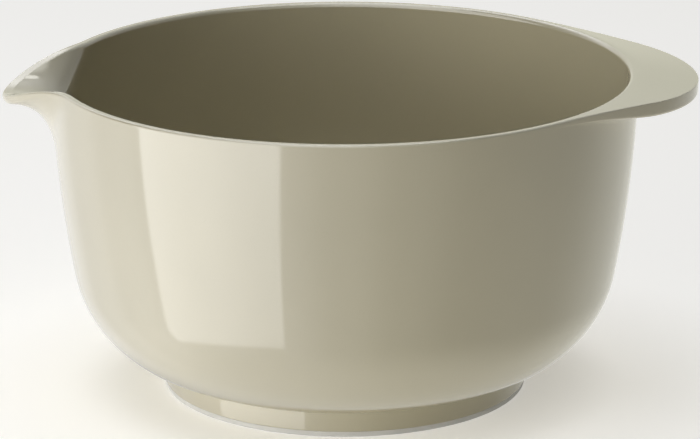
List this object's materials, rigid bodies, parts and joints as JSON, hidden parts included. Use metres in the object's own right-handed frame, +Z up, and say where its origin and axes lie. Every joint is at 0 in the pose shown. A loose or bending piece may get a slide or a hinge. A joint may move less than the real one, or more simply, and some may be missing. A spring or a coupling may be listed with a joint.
{
  "type": "batter bowl",
  "caption": "Round mixing bowl with a pouring spout, a flat handle lip opposite it and a low foot that stands on a rubber non-slip ring.",
  "frame": {"origin": "on the bowl's axis, in the plane of the ring's underside that the bowl stands on", "axes": "+X towards the handle lip, -X towards the spout, +Z up along the bowl's axis"},
  "size_m": [0.2843, 0.24, 0.1329],
  "materials": {
    "melamine": "glossy moulded",
    "ring_rubber": "matt"
  },
  "bodies": {
    "root": {"bowl_body": "melamine", "non_slip_ring": "ring_rubber"}
  },
  "joints": []
}
